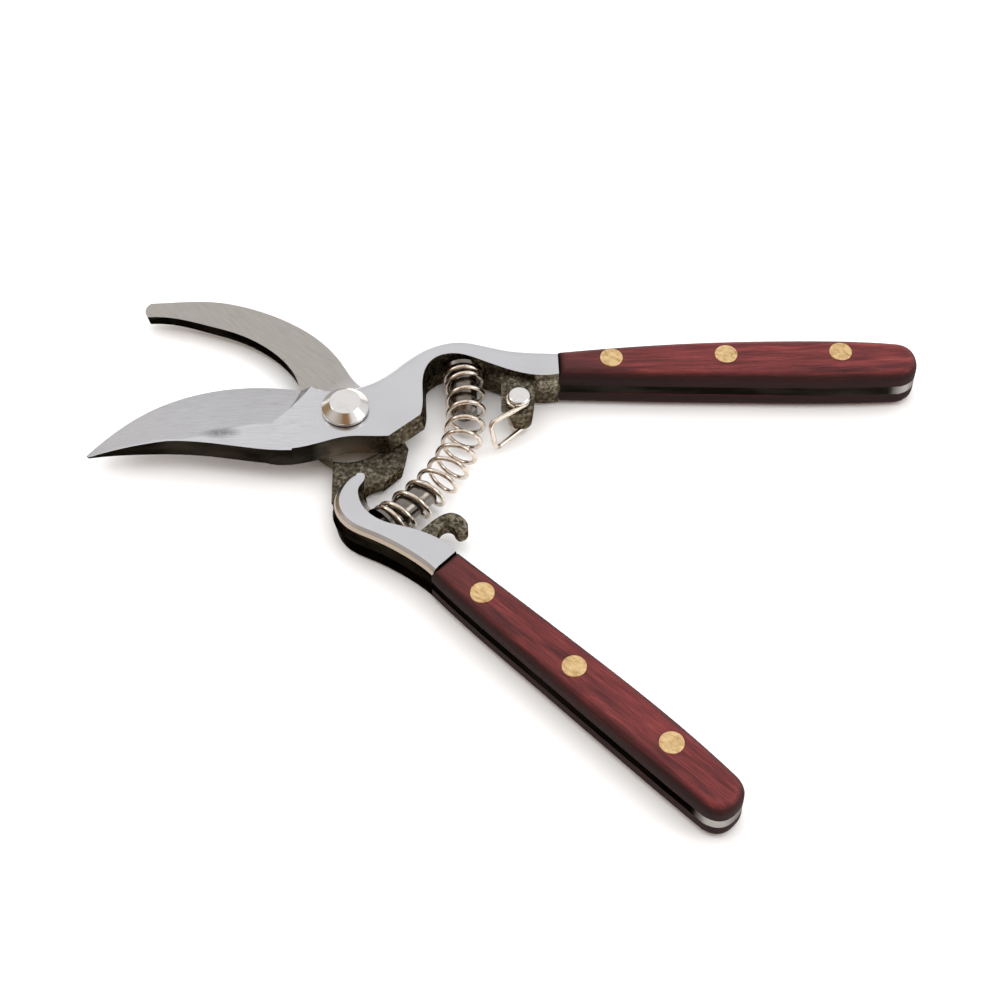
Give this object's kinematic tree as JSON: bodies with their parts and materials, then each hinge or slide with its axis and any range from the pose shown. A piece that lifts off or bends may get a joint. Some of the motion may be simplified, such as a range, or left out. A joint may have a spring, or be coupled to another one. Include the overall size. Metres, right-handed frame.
{
  "type": "pruning shears",
  "caption": "Bypass pruning shears: forged steel blade and hook jaw on a pivot bolt, riveted wooden handles, coil spring on two studs and a wire latch loop.",
  "frame": {"origin": "on the pivot axis, at the level the shears rest on", "axes": "+Z along the pivot axis towards the bolt head; +X along the blade half's handle, away from the blade; +Y towards the hook jaw's side"},
  "size_m": [0.2156, 0.1626, 0.0159],
  "materials": {
    "forged_steel": "ground and polished on the faces, as forged on the inner walls",
    "bolt_steel": "polished nickel plate",
    "stud_steel": "turned, darkened",
    "spring_wire": "drawn spring wire",
    "rosewood": "satin oiled",
    "brass": "satin, sanded flush"
  },
  "bodies": {
    "blade_body": {"blade_half": "forged_steel", "pivot_bolt": "bolt_steel", "pivot_washer": "bolt_steel", "pivot_nut": "bolt_steel", "blade_spring_stud": "stud_steel", "coil_spring": "spring_wire", "latch_pin": "bolt_steel", "blade_handle_scale_top": "rosewood", "blade_handle_scale_bottom": "rosewood", "blade_handle_rivet_1": "brass", "blade_handle_rivet_2": "brass", "blade_handle_rivet_3": "brass"},
    "hook_body": {"hook_half": "forged_steel", "hook_spring_stud": "stud_steel", "hook_handle_scale_top": "rosewood", "hook_handle_scale_bottom": "rosewood", "hook_handle_rivet_1": "brass", "hook_handle_rivet_2": "brass", "hook_handle_rivet_3": "brass"},
    "latch": {"latch_loop": "spring_wire"}
  },
  "joints": [
    {"name": "jaw_pivot", "type": "hinge", "parent": "blade_body", "child": "hook_body", "pos_m": [0, 0, 0.0068], "axis": [0, 0, 1], "range_deg": [0, 45], "stiffness_Nm_per_rad": 1, "springref_deg": -8.59, "deforming": ["coil_spring"]},
    {"name": "latch_swing", "type": "hinge", "parent": "blade_body", "child": "latch", "pos_m": [0.0447, 0.0028, 0.0068], "axis": [0, 0, 1], "range_deg": [-3, 75]}
  ]
}
